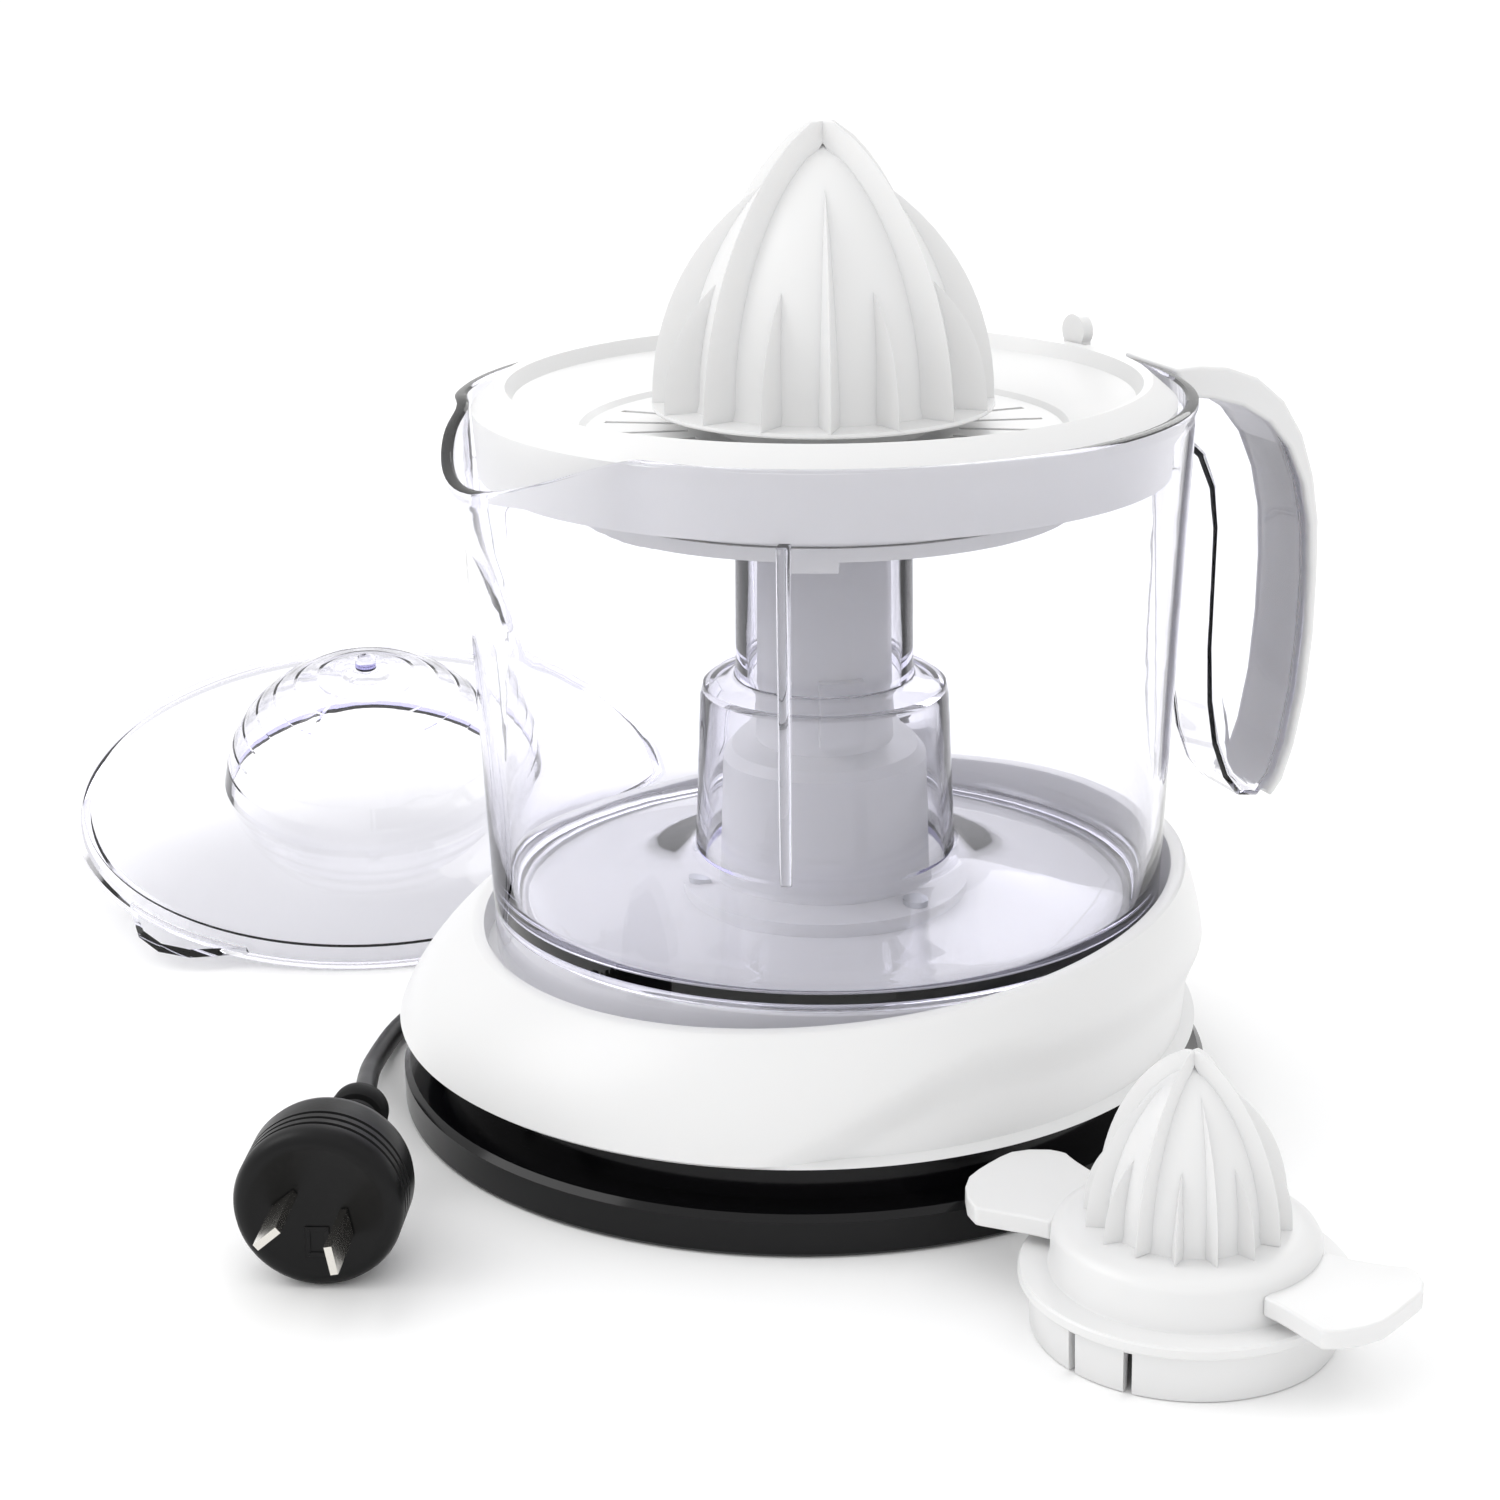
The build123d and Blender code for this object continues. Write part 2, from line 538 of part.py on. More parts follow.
# ---- strainer, selector and cones ------------------------------------------------------------------
def strainer():
    bowl = lathe([
        (HUB_R - 2, BOWL_FLOOR_Z - 2), (DRUM_R - 2.2, BOWL_FLOOR_Z - 2), (DRUM_R - 2.2, DRUM_FOOT_Z),
        (DRUM_R, DRUM_FOOT_Z), (DRUM_R, BOWL_FLOOR_Z - 6), (SKIRT_R - 5.5, RIB_TOP_Z + 2.4),
        (SKIRT_R - 5.5, RIB_TOP_Z + FIT_GAP), (SKIRT_R, RIB_TOP_Z + FIT_GAP), (SKIRT_R + 1.0, JUG_RIM_Z - 1.5),
        (BOWL_R + 2.0, BOWL_TOP_Z), (BOWL_R, BOWL_TOP_Z - 0.6), (BOWL_R - 1.6, BOWL_TOP_Z - 4),
        (BOWL_SHELF_R, BOWL_FLOOR_Z + 1.2), (BOWL_SHELF_R - 1.2, BOWL_FLOOR_Z), (HUB_R, BOWL_FLOOR_Z),
        (HUB_R, BOWL_FLOOR_Z + 3.0), (HUB_R - 2, BOWL_FLOOR_Z + 3.0)])
    slot = block((31, -1.0, BOWL_FLOOR_Z - 4), (51, 1.0, BOWL_FLOOR_Z + 2))
    for index in range(24):
        bowl -= Rot(0, 0, index * 15) * slot
    lever_slot = tube(SKIRT_R - 1.2, SKIRT_R - 5.4, RIB_TOP_Z - 2, BOWL_TOP_Z + 2)
    start, end = LEVER_ANGLE - 4.5, LEVER_ANGLE + SELECTOR_SWING + 4.5
    wedge = make_face(Polyline((0, 0), polar(120, start), polar(120, (start + end) / 2), polar(120, end), close=True))
    lever_slot &= Pos(0, 0, RIB_TOP_Z - 3) * extrude(wedge, 30)
    return bowl - lever_slot


def pulp_selector():
    top = DRUM_FOOT_Z - FIT_GAP
    plate = tube(DRUM_R + 0.6, HUB_R - 1.4, top - SELECTOR_T, top)
    slot = block((31, -1.2, top - 6), (51, 1.2, top + 1))
    for index in range(24):
        plate -= Rot(0, 0, index * 15) * slot
    for angle in (-25, 65, 155, 245):
        plate += Rot(0, 0, angle) * block((47, -5, top - SELECTOR_T - 3.4), (54, 5, top - SELECTOR_T + 0.5))
    arm = block((DRUM_R - 1, -3.2, top - SELECTOR_T), (SKIRT_R - 1.8, 3.2, top))
    post = block((SKIRT_R - 4.8, -3.2, top - SELECTOR_T), (SKIRT_R - 1.8, 3.2, LEVER_TOP_Z - 3.2))
    knob = Pos(SKIRT_R - 3.3, 0, LEVER_TOP_Z - 4.0) * Rot(0, 90, 0) * Cylinder(4.0, 3.0)
    return plate + Rot(0, 0, LEVER_ANGLE) * (arm + post + knob)


def reamer_cone():
    height = CONE_APEX_Z - CONE_BASE_Z
    cone = ribbed_cone(CONE_R, height, CONE_BASE_Z, 0.78, 8.8, 7.0, CONE_FIRST_RIB)
    cone += disc(CONE_R * 0.80, CONE_BASE_Z - 0.01, CONE_BASE_Z + 1.5)
    cone -= ogive_solid(CONE_R * 0.78 - 2.6, height * 0.955 - 6, CONE_BASE_Z - 0.02)
    stem = disc(8.2, CONE_BASE_Z, CONE_BASE_Z + height * 0.78)
    cone += stem
    return cone - hexagon(HEX_FLATS + 2 * RUN_GAP + 0.4, CONE_BASE_Z - 1, SPINDLE_TOP_Z + 0.3)


def cone_seat_ring():
    """Loose running ring between the turning cone and the still strainer."""
    return tube(10.4, SPINDLE_R + 0.6, COL_TOP_Z + FIT_GAP, CONE_BASE_Z - FIT_GAP)


def small_cone():
    """Lemon cone with a slotted skirt and two lifting wings, standing on its skirt."""
    skirt_h, ledge_h, drum_h = 10.4, 13.0, 21.0
    body = lathe([
        (SMALL_SKIRT_R - 2.2, 0), (SMALL_SKIRT_R, 0), (SMALL_SKIRT_R + 0.4, skirt_h), (SMALL_SKIRT_R + 2.6, skirt_h),
        (SMALL_SKIRT_R + 2.6, ledge_h), (27.6, ledge_h), (27.2, drum_h), (25.6, drum_h + 2.0), (17, drum_h + 3.6),
        (14, drum_h + 3.6), (14, drum_h + 1.0), (24.4, drum_h - 0.8), (25.0, skirt_h - 1), (SMALL_SKIRT_R - 2.0, skirt_h - 1)])
    cone_low = drum_h + 2.6
    height = 61.0 - cone_low
    cone = ribbed_cone(21.0, height, cone_low, 0.80, 4.6, 4.2, SMALL_CONE_FIRST_RIB)
    cone -= ogive_solid(14.4, height * 0.955 - 4, cone_low - 0.02)
    body += cone
    stem = tube(7.6, 5.2, 8, cone_low + height * 0.72)
    body += stem
    wing_plan = make_face(Polyline((24, -12, 0), (45.5, -16, 0), (49, -10.5, 0), (49, 10.5, 0), (45.5, 16, 0), (24, 12, 0),
                                   close=True))
    wing = Pos(0, 0, drum_h - 5.2) * extrude(wing_plan, 4.2) - disc(24.6, 5, 30)
    for side in (0, 180):
        body += Rot(0, 0, side) * wing
    for angle in (-102, -78, 102, 78):
        body -= Rot(0, 0, angle) * block((SMALL_SKIRT_R - 5, -0.9, -1), (SMALL_SKIRT_R + 1.5, 0.9, skirt_h - 1.4))
    return Pos(*SMALL_CONE, 0) * Rot(0, 0, SMALL_CONE_TURN) * body


def dust_cover():
    """Clear lid with a dome for the cone and a lip for the spout, leaning as it is laid down."""
    plane = Plane(origin=COVER_AT, z_dir=(*COVER_TILT, 0.973), x_dir=(0.62, -0.78, 0))
    points = [(COVER_R, 0), (COVER_R, 1.6), (COVER_R - 2.0, 3.0), (COVER_R - 2.6, 6.0), (60, 8.0), (42, 9.5)]
    for step in range(1, 9):
        angle = math.radians(90 * step / 9)
        points.append((41.5 * math.cos(angle), 9.5 + 35 * math.sin(angle)))
    points += [(3.0, 44.9), (3.0, 47.6), (0, 47.6)]
    inner = [(0, 42.6)]
    for step in range(8, 0, -1):
        angle = math.radians(90 * step / 9)
        inner.append((39.5 * math.cos(angle), 9.0 + 33.4 * math.sin(angle)))
    inner += [(40, 7.4), (60, 6.0), (COVER_R - 4.8, 4.0), (COVER_R - 2.4, 0)]
    lid = lathe(points + inner)
    tab = loft([Pos(0, 0, 1.6) * make_face(Polyline((COVER_R - 3, -21, 0), (COVER_R + 7, -9, 0), (COVER_R + 9.5, 0, 0),
                                                    (COVER_R + 7, 9, 0), (COVER_R - 3, 21, 0), close=True)),
                Pos(0, 0, 3.4) * make_face(Polyline((COVER_R - 3, -20, 0), (COVER_R + 6, -8, 0), (COVER_R + 8, 0, 0),
                                                    (COVER_R + 6, 8, 0), (COVER_R - 3, 20, 0), close=True))], ruled=True)
    tab -= disc(COVER_R - 0.6, -5, 10)
    return plane.location * (lid + tab)


# ---- mains lead -------------------------------------------------------------------------------------
CORD_Z = CORD_D / 2 + 0.1
TOP_TURN_Z = COIL_LIFT + 1.5 * CORD_D
PLUG_AXIS = Plane(origin=(*PLUG_FACE, PLUG_R), z_dir=(*PLUG_DIR, 0.0))
PLUG_BODY_L = 27.0
PLUG_NECK_L = 27.0
GLAND_TAIL_L = 26.0


def along(plane, distance):
    spot = plane.origin + plane.z_dir * distance
    return (spot.X, spot.Y, spot.Z)


def coil_point(degrees, z):
    x, y = polar(COIL_MID_R + CORD_D / 2, degrees, COIL_AT)
    return (x, y, z)


def lead_route():
    """From the gland to the coil."""
    return [along(gland_place(), GLAND_TAIL_L), (-94.5, 87.0, 12.2), (-116.0, 101.0, 5.4),
            coil_point(80, COIL_LIFT + CORD_D / 2)]


def run_route():
    """From the coil round the base's hidden side to the plug."""
    return [coil_point(215, TOP_TURN_Z), (-157.0, 34.0, 4.6), (-128.0, 7.0, CORD_Z), (-106.0, -22.0, CORD_Z),
            (-92.0, -55.5, CORD_Z), (-66.0, -88.5, CORD_Z), (-36.0, -105.0, 4.4), (-10.0, -112.5, 12.0),
            along(PLUG_AXIS, PLUG_BODY_L + PLUG_NECK_L)]


def cord_gland():
    place = gland_place()
    head = place * (Pos(0, 0, 0.9) * Cylinder(5.2, 1.8)) + place * (Pos(0, 0, -3.6) * Cylinder(4.5, 7.4))
    head += place * (Pos(0, 0, -8.0) * Cylinder(5.4, 1.6))
    tail = loft([place * (Pos(0, 0, 1.5) * Circle(4.6)), place * (Pos(0, 0, GLAND_TAIL_L) * Circle(3.2))])
    return head + tail


def cord_clamp():
    saddle = block((71, -6, TRAY_FLOOR), (77, 6, 12)) - Pos(74, 0, 12) * Rot(0, 90, 0) * Cylinder(2.7, 20)
    return Pos(0, BASE_Y, 0) * Rot(0, 0, GLAND_ANGLE) * saddle


def cord_coil():
    return tube(COIL_MID_R + CORD_D, COIL_MID_R - CORD_D, COIL_LIFT, COIL_LIFT + 2 * CORD_D, COIL_AT)


def coil_tie():
    size = 2 * CORD_D
    low = COIL_MID_R - CORD_D
    band = block((low - 1.0, -4, 0.1), (low + size + 1.0, 4, COIL_LIFT + size + 0.8))
    band -= block((low - 0.2, -6, COIL_LIFT - 0.1), (low + size + 0.2, 6, COIL_LIFT + size + 0.1))
    return Pos(*COIL_AT, 0) * Rot(0, 0, 320) * band


def plug_body():
    r = PLUG_R
    profile = [(0, 0), (r - 3.2, 0), (r - 0.6, 1.0), (r, 3.0), (r, 4.4), (r - 0.5, 4.8), (r - 0.5, 5.6), (r, 6.0),
               (r, 7.4), (r - 0.5, 7.8), (r - 0.5, 8.6), (r, 9.0), (r, 17.5), (r - 2.4, 22.0), (9.5, 25.2),
               (7.6, PLUG_BODY_L), (0, PLUG_BODY_L)]
    return PLUG_AXIS.location * lathe(profile)


def plug_relief():
    """Ribbed neck next to the body, with a round collar where the lead goes in."""
    low = PLUG_BODY_L
    neck = disc(6.2, low, low + 2.0) + disc(4.2, low + 1.5, low + PLUG_NECK_L - 5)
    for index in range(4):
        ring = low + 3.4 + index * 4.0
        neck += disc(5.6 - 0.15 * index, ring, ring + 2.2)
    neck += disc(6.4, low + PLUG_NECK_L - 8.0, low + PLUG_NECK_L - 2.5)
    neck += disc(3.4, low + PLUG_NECK_L - 3.0, low + PLUG_NECK_L)
    return PLUG_AXIS.location * neck


def plug_pins():
    pins = []
    for side in (-1, 1):
        blade = Pos(side * 6.85, 0, -8.5) * Rot(0, 0, side * 30) * Box(1.6, 6.3, 17.0)
        pins.append(PLUG_AXIS.location * Rot(0, 0, 20) * blade)
    return Compound(children=pins)


# ---- build every node ---------------------------------------------------------------------------------
NODES = (base_tray, base_housing, drive_tower, tower_screws, rubber_feet, tray_screws, gearbox_plate, plate_screws,
         idler_pin, stator_core, motor_coil, motor_bracket, motor_screws, rotor, motor_pinion, idler_gear,
         output_gear, drive_spindle, spindle_bush, return_spring, micro_switch, switch_mount, switch_plunger,
         jug, jug_column, jug_handle, handle_cover, strainer, pulp_selector, reamer_cone, cone_seat_ring, small_cone, dust_cover,
         cord_gland, cord_clamp, cord_coil, coil_tie, plug_body, plug_relief, plug_pins)


def main():
    os.makedirs("parts", exist_ok=True)
    for maker in NODES:
        export_step(maker(), f"parts/{maker.__name__}.step")
        print("made", maker.__name__)
    export_step(route_tube(lead_route(), "mains_cord_lead"), "parts/mains_cord_lead.step")
    export_step(route_tube(run_route(), "mains_cord_run"), "parts/mains_cord_run.step")


main()
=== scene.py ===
# %% [markdown]
# # A citrus press, finished in Blender
# The engineering model already holds every part at its real size. This notebook gives it its looks:
# a camera and a white studio, the mains lead as one real length of flex, finer moulded pieces where a
# plain solid is too stiff, and one material for each real finish. Lengths below are in millimetres and
# are turned to metres by MM, because the frame is in metres.

# %% Load the fixed frame
import json
import math

import bpy
from mathutils import Matrix, Vector


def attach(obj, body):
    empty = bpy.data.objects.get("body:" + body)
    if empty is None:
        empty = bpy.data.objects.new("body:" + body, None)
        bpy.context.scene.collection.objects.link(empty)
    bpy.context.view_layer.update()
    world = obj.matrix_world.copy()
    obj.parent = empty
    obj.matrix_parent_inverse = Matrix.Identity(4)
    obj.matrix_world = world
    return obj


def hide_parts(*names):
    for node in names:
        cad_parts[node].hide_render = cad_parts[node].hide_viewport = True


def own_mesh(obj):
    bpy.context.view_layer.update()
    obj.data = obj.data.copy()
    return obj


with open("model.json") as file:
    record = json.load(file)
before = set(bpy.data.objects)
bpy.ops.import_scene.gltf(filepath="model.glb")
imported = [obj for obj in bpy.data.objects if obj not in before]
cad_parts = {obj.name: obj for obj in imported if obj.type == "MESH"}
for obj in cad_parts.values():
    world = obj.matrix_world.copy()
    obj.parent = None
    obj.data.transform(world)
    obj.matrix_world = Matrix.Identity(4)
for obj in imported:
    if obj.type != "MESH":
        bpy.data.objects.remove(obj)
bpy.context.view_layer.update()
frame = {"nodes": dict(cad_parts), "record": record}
MM = 0.001
scene = bpy.context.scene

# %% [markdown]
# ## Camera
# The picture is taken from the press's right-hand side, a little towards the spout, from above. A camera
# is easiest to place as a photographer would say it: how far off, how high, which way round, how much it
# looks down. The three turns are then multiplied into one matrix.

# %% Camera
CAMERA_TURN = math.radians(67.0)
CAMERA_AWAY = 655.96 * MM
CAMERA_HEIGHT = 293.73 * MM
CAMERA_DIP = 0.312
CAMERA_PAN = -0.0270
CAMERA_ROLL = -0.0120
SENSOR_MM = 36
FOCAL_WIDTHS = 2903.8 / 1500
camera = bpy.data.objects.new("camera", bpy.data.cameras.new("camera"))
scene.collection.objects.link(camera)
camera.data.sensor_width = SENSOR_MM
camera.data.lens = FOCAL_WIDTHS * SENSOR_MM
turn = Matrix.Rotation(CAMERA_TURN - CAMERA_PAN, 4, "Z")
dip = Matrix.Rotation(math.pi / 2 - CAMERA_DIP, 4, "X")
roll = Matrix.Rotation(CAMERA_ROLL, 4, "Z")
stand = Matrix.Translation((math.sin(CAMERA_TURN) * CAMERA_AWAY, -math.cos(CAMERA_TURN) * CAMERA_AWAY,
                            CAMERA_HEIGHT))
camera.matrix_world = stand @ turn @ dip @ roll
scene.camera = camera

# %% [markdown]
# ## Colours and nodes
# Colours are written as a designer would, in sRGB hex, and turned to the linear values that light adds up
# in. One small function adds a shader node, sets its values and links its inputs.


# %% Colour and node helpers
def linear(code):
    """An sRGB hex colour as linear RGBA."""
    parts = [int(code[i:i + 2], 16) / 255 for i in (1, 3, 5)]
    return [c / 12.92 if c <= 0.04045 else ((c + 0.055) / 1.055) ** 2.4 for c in parts] + [1.0]


def add(tree, kind, links=None, **settings):
    """Adds one node; settings name its sockets, and links name its sockets' sources."""
    node = tree.nodes.new(kind)
    for name, value in settings.items():
        node.inputs[name.replace("_", " ")].default_value = value
    for name, source in (links or {}).items():
        tree.links.new(source, node.inputs[name])
    return node


def material(name, **settings):
    """A new material with a Principled shader on its output; returns both with its tree."""
    made = bpy.data.materials.new(name)
    made.use_nodes = True
    tree = made.node_tree
    tree.nodes.clear()
    shader = tree.nodes.new("ShaderNodeBsdfPrincipled")
    for key, value in settings.items():
        shader.inputs[key.replace("_", " ")].default_value = value
    add(tree, "ShaderNodeOutputMaterial", {"Surface": shader.outputs[0]})
    return made, tree, shader


def grain(tree, shader, size_mm, depth_mm, detail=3.0, rough=None):
    """Fine surface relief of a real size, and a matching drift of the roughness."""
    where = add(tree, "ShaderNodeTexCoord")
    noise = add(tree, "ShaderNodeTexNoise", {"Vector": where.outputs["Object"]},
                Scale=1 / (size_mm * MM), Detail=detail)
    bump = add(tree, "ShaderNodeBump", {"Height": noise.outputs[0]}, Distance=depth_mm * MM, Strength=0.6)
    tree.links.new(bump.outputs[0], shader.inputs["Normal"])
    if rough:
        drift = add(tree, "ShaderNodeTexNoise", {"Vector": where.outputs["Object"]},
                    Scale=1 / (18 * MM), Detail=2.0)
        spread = add(tree, "ShaderNodeMapRange", {"Value": drift.outputs[0]},
                     To_Min=rough[0], To_Max=rough[1])
        tree.links.new(spread.outputs[0], shader.inputs["Roughness"])
    return where


# %% [markdown]
# ## Finishes
# White parts are injection-moulded ABS with a spark-eroded satin: it looks soft because the skin scatters
# a little light. The jug and lid are clear SAN, which shows violet where one looks along the sheet. The
# foot is high-gloss black ABS, and the lead, plug and feet are soft black PVC and rubber.

# %% Plastic finishes
white_abs, tree, shader = material(
    "white_abs_satin_moulded", Base_Color=linear("#E4E4E4"), Roughness=0.34, IOR=1.54,
    Subsurface_Weight=0.12, Subsurface_Radius=(1.0, 0.9, 0.8), Subsurface_Scale=0.002)
grain(tree, shader, 0.35, 0.012, rough=(0.28, 0.40))
black_abs, tree, shader = material(
    "black_abs_high_gloss", Base_Color=linear("#08080A"), Roughness=0.12, IOR=1.54, Specular_IOR_Level=0.22)
grain(tree, shader, 2.2, 0.004, rough=(0.07, 0.16))
clear_san, tree, shader = material(
    "clear_san_moulded", Base_Color=linear("#FDFDFE"), Roughness=0.015, IOR=1.42, Transmission_Weight=1.0)
grain(tree, shader, 9.0, 0.03, detail=1.0)
depth = add(tree, "ShaderNodeVolumeAbsorption", Color=linear("#C4BEF6"), Density=22.0)
tree.links.new(depth.outputs[0], [n for n in tree.nodes if n.type == "OUTPUT_MATERIAL"][0].inputs["Volume"])
black_pvc, tree, shader = material(
    "black_pvc_extruded", Base_Color=linear("#0C0C0D"), Roughness=0.38, IOR=1.53, Specular_IOR_Level=0.2)
grain(tree, shader, 0.8, 0.03, rough=(0.3, 0.48))
black_rubber, tree, shader = material(
    "black_rubber_moulded", Base_Color=linear("#0E0E0F"), Roughness=0.62, IOR=1.52, Specular_IOR_Level=0.2)
grain(tree, shader, 0.5, 0.03, rough=(0.55, 0.72))
nylon, tree, shader = material(
    "natural_nylon_moulded", Base_Color=linear("#E6E0CF"), Roughness=0.45, IOR=1.53)
grain(tree, shader, 0.5, 0.02, rough=(0.4, 0.55))
switch_case, tree, shader = material(
    "black_phenolic_moulded", Base_Color=linear("#1B1A1A"), Roughness=0.5, IOR=1.6)
grain(tree, shader, 0.4, 0.02, rough=(0.42, 0.6))

# %% [markdown]
# Metals keep the default IOR. Plug pins are bright nickel plate with fine lengthways drawing lines; the
# motor's laminations and plate are cold-rolled steel; screws and spring are dull zinc plate.

# %% Metal finishes
WAVES_PER_SCALE = 20
nickel, tree, shader = material(
    "nickel_plated_brass_drawn", Base_Color=linear("#D8D5CE"), Metallic=1.0, Roughness=0.22)
where = add(tree, "ShaderNodeTexCoord")
lines = add(tree, "ShaderNodeTexWave", {"Vector": where.outputs["Object"]},
            Scale=1 / (0.4 * MM) / WAVES_PER_SCALE, Distortion=6.0)
bump = add(tree, "ShaderNodeBump", {"Height": lines.outputs[1]}, Distance=0.01 * MM, Strength=0.5)
tree.links.new(bump.outputs[0], shader.inputs["Normal"])
steel, tree, shader = material(
    "cold_rolled_steel", Base_Color=linear("#B9BABC"), Metallic=1.0, Roughness=0.36)
grain(tree, shader, 0.6, 0.01, rough=(0.28, 0.45))
zinc, tree, shader = material("zinc_plated_steel", Base_Color=linear("#C6C8CB"), Metallic=1.0, Roughness=0.3)
grain(tree, shader, 0.9, 0.01, rough=(0.22, 0.42))
winding, tree, shader = material(
    "enamelled_copper_wound", Base_Color=linear("#B4612E"), Metallic=1.0, Roughness=0.32)
where = add(tree, "ShaderNodeTexCoord")
turns = add(tree, "ShaderNodeTexWave", {"Vector": where.outputs["Object"]},
            Scale=1 / (0.5 * MM) / WAVES_PER_SCALE)
bump = add(tree, "ShaderNodeBump", {"Height": turns.outputs[1]}, Distance=0.15 * MM)
tree.links.new(bump.outputs[0], shader.inputs["Normal"])

# %% Give every CAD node its finish
FINISHES = {"white_abs": white_abs, "black_plastic": black_abs, "clear_san": clear_san, "steel": zinc,
            "plate_steel": steel, "copper": winding, "nylon": nylon, "switch_black": switch_case,
            "rubber": black_rubber, "cord_pvc": black_pvc, "pin_metal": nickel}
for part in frame["record"]["subparts"]:
    mesh = frame["nodes"][part["node"]].data
    mesh.materials.clear()
    mesh.materials.append(FINISHES[part["material_slot"]])

# %% [markdown]
# ## Mains lead
# A flexible lead is a fixed length of cord that lies where it falls. It comes out of the base's rear
# gland, its spare length is wound into a flat tied coil behind the press, and it runs round the hidden
# side of the base to the plug. One spline carries it all, so its length can be measured.

# %% Lead route
CORD_D = 5.0
CORD_Z = CORD_D / 2 + 0.1
COIL_CENTRE = (-150.0, 78.0)
COIL_OUTER = 30.5
COIL_LOW = 3.4
STEP = 18
coil_turn = 3 * 360 + 135
lead = [(-80.61, 74.61, 15.3), (-94.5, 87.0, 12.2), (-116.0, 101.0, 5.4)]
for degrees in range(0, coil_turn + 1, STEP):
    half = coil_turn / 2
    inward = min(degrees, coil_turn - degrees) / 360 * CORD_D
    swell = 2 / (1 + math.cos(math.radians(STEP)))
    radius = (COIL_OUTER - inward) * swell
    rise = min(max((degrees - half) / 60 + 0.5, 0), 1)
    angle = math.radians(80 + degrees)
    lead.append((COIL_CENTRE[0] + radius * math.cos(angle), COIL_CENTRE[1] + radius * math.sin(angle),
                 COIL_LOW + CORD_D * rise))
PLUG_END = (62.5 - 0.906 * 54, -141.9 + 0.423 * 54, 18.0)
lead += [(-157.0, 34.0, 4.6), (-128.0, 7.0, CORD_Z), (-106.0, -22.0, CORD_Z), (-92.0, -55.5, CORD_Z),
         (-66.0, -88.5, CORD_Z), (-36.0, -105.0, 4.4), (-10.0, -112.5, 12.0), PLUG_END]


def nurbs(name, points, radius_mm):
    """One open smooth spline with the given control points, as a round cord."""
    curve = bpy.data.curves.new(name, "CURVE")
    curve.dimensions = "3D"
    spline = curve.splines.new("NURBS")
    spline.points.add(len(points) - 1)
    for slot, point in zip(spline.points, points):
        slot.co = (*(c * MM for c in point), 1)
    spline.order_u = 3
    spline.use_endpoint_u = True
    spline.resolution_u = 8
    curve.bevel_depth = radius_mm * MM
    curve.bevel_resolution = 6
    curve.use_fill_caps = True
    made = bpy.data.objects.new(name, curve)
    scene.collection.objects.link(made)
    return made


mains_cord = nurbs("mains_cord", lead, CORD_D / 2)
mains_cord.data.materials.append(black_pvc)
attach(mains_cord, "base")
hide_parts("mains_cord_lead", "mains_cord_run", "cord_coil")


# %% [markdown]
# ## Modelling helpers
# Most of this appliance was turned or moulded round an axis, so the first helper works as a lathe does:
# it starts from a circle, and each extrude and resize lays the next ring. A wall is drawn up its outside,
# over its rim and down its inside, so its thickness is real. Rounding is left to the Bevel modifier.


# %% Modelling helpers
def edit(piece):
    """Goes into edit mode on this piece alone, with all of it selected."""
    bpy.ops.object.select_all(action="DESELECT")
    bpy.context.view_layer.objects.active = piece
    piece.select_set(True)
    bpy.ops.object.mode_set(mode="EDIT")
    bpy.ops.mesh.select_all(action="SELECT")


def tidy(piece, angle=38):
    """Merges doubles, turns faces outwards and smooths all but the sharp edges."""
    edit(piece)
    bpy.ops.mesh.remove_doubles(threshold=0.02 * MM)
    bpy.ops.mesh.normals_make_consistent(inside=False)
    bpy.ops.object.mode_set(mode="OBJECT")
    bpy.ops.object.shade_smooth_by_angle(angle=math.radians(angle))
    for modifier in list(piece.modifiers):
        bpy.ops.object.modifier_apply(modifier=modifier.name)


def start_piece(name):
    piece = bpy.context.object
    piece.name = name
    piece.data.name = name
    return piece


def turned(name, rings, segments=96, close=True):
    """Turns (radius, height) rings round Z; the last ring joins the first where close is true."""
    bpy.ops.object.select_all(action="DESELECT")
    radius, height = rings[0]
    bpy.ops.mesh.primitive_circle_add(vertices=segments, radius=radius * MM, location=(0, 0, 0))
    piece = start_piece(name)
    edit(piece)
    bpy.ops.transform.translate(value=(0, 0, height * MM))
    for next_radius, next_height in rings[1:] + ([rings[0]] if close else []):
        bpy.ops.mesh.extrude_edges_move(TRANSFORM_OT_translate={"value": (0, 0, (next_height - height) * MM)})
        ratio = next_radius / radius
        bpy.ops.transform.resize(value=(ratio, ratio, 1), center_override=(0, 0, next_height * MM))
        radius, height = next_radius, next_height
    bpy.ops.object.mode_set(mode="OBJECT")
    tidy(piece)
    return piece


def block_piece(name, low, high, bevel=0.0):
    """A rounded block between two corners, in millimetres."""
    middle = [(a + b) / 2 * MM for a, b in zip(low, high)]
    bpy.ops.object.select_all(action="DESELECT")
    bpy.ops.mesh.primitive_cube_add(size=1, location=(0, 0, 0))
    piece = start_piece(name)
    edit(piece)
    bpy.ops.transform.resize(value=[(b - a) * MM for a, b in zip(low, high)])
    bpy.ops.transform.translate(value=middle)
    if bevel:
        bpy.ops.mesh.bevel(offset=bevel * MM, segments=3, affect="EDGES")
    bpy.ops.object.mode_set(mode="OBJECT")
    return piece


def place(piece, matrix):
    """Moves a finished piece to its place and writes the place into its mesh."""
    piece.matrix_world = matrix
    bpy.ops.object.select_all(action="DESELECT")
    bpy.context.view_layer.objects.active = piece
    piece.select_set(True)
    bpy.ops.object.transform_apply(location=True, rotation=True, scale=True)


